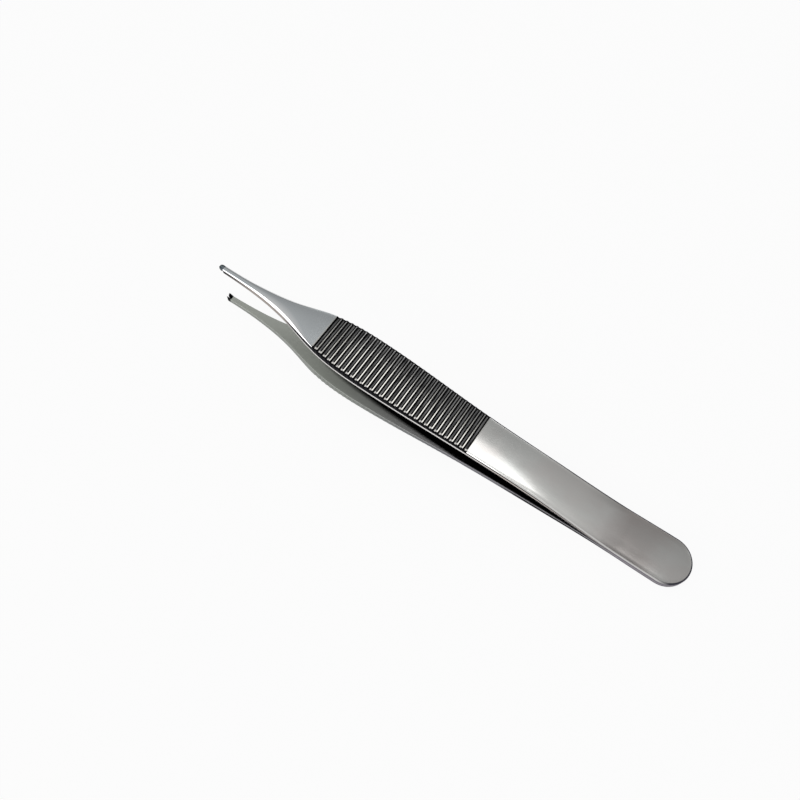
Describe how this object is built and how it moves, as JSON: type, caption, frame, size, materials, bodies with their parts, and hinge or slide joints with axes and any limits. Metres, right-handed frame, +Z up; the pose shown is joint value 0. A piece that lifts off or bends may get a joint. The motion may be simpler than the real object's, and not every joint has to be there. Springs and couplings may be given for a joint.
{
  "type": "thumb forceps",
  "caption": "Fine-tipped toothed thumb forceps in satin stainless steel: sprung limbs joined at the heel, with cross-grooved thumb grips.",
  "frame": {"origin": "on the floor under the middle of the forceps, as it lies on its lower limb", "axes": "+X along the length from the tips to the heel, +Y across the width to the far side, +Z up"},
  "size_m": [0.1202, 0.0116, 0.0156],
  "materials": {
    "satin_steel": "satin, with bright crests on the grip and ground bevels on the nose"
  },
  "bodies": {
    "root": {"upper_limb": "satin_steel", "lower_limb": "satin_steel"}
  },
  "joints": []
}
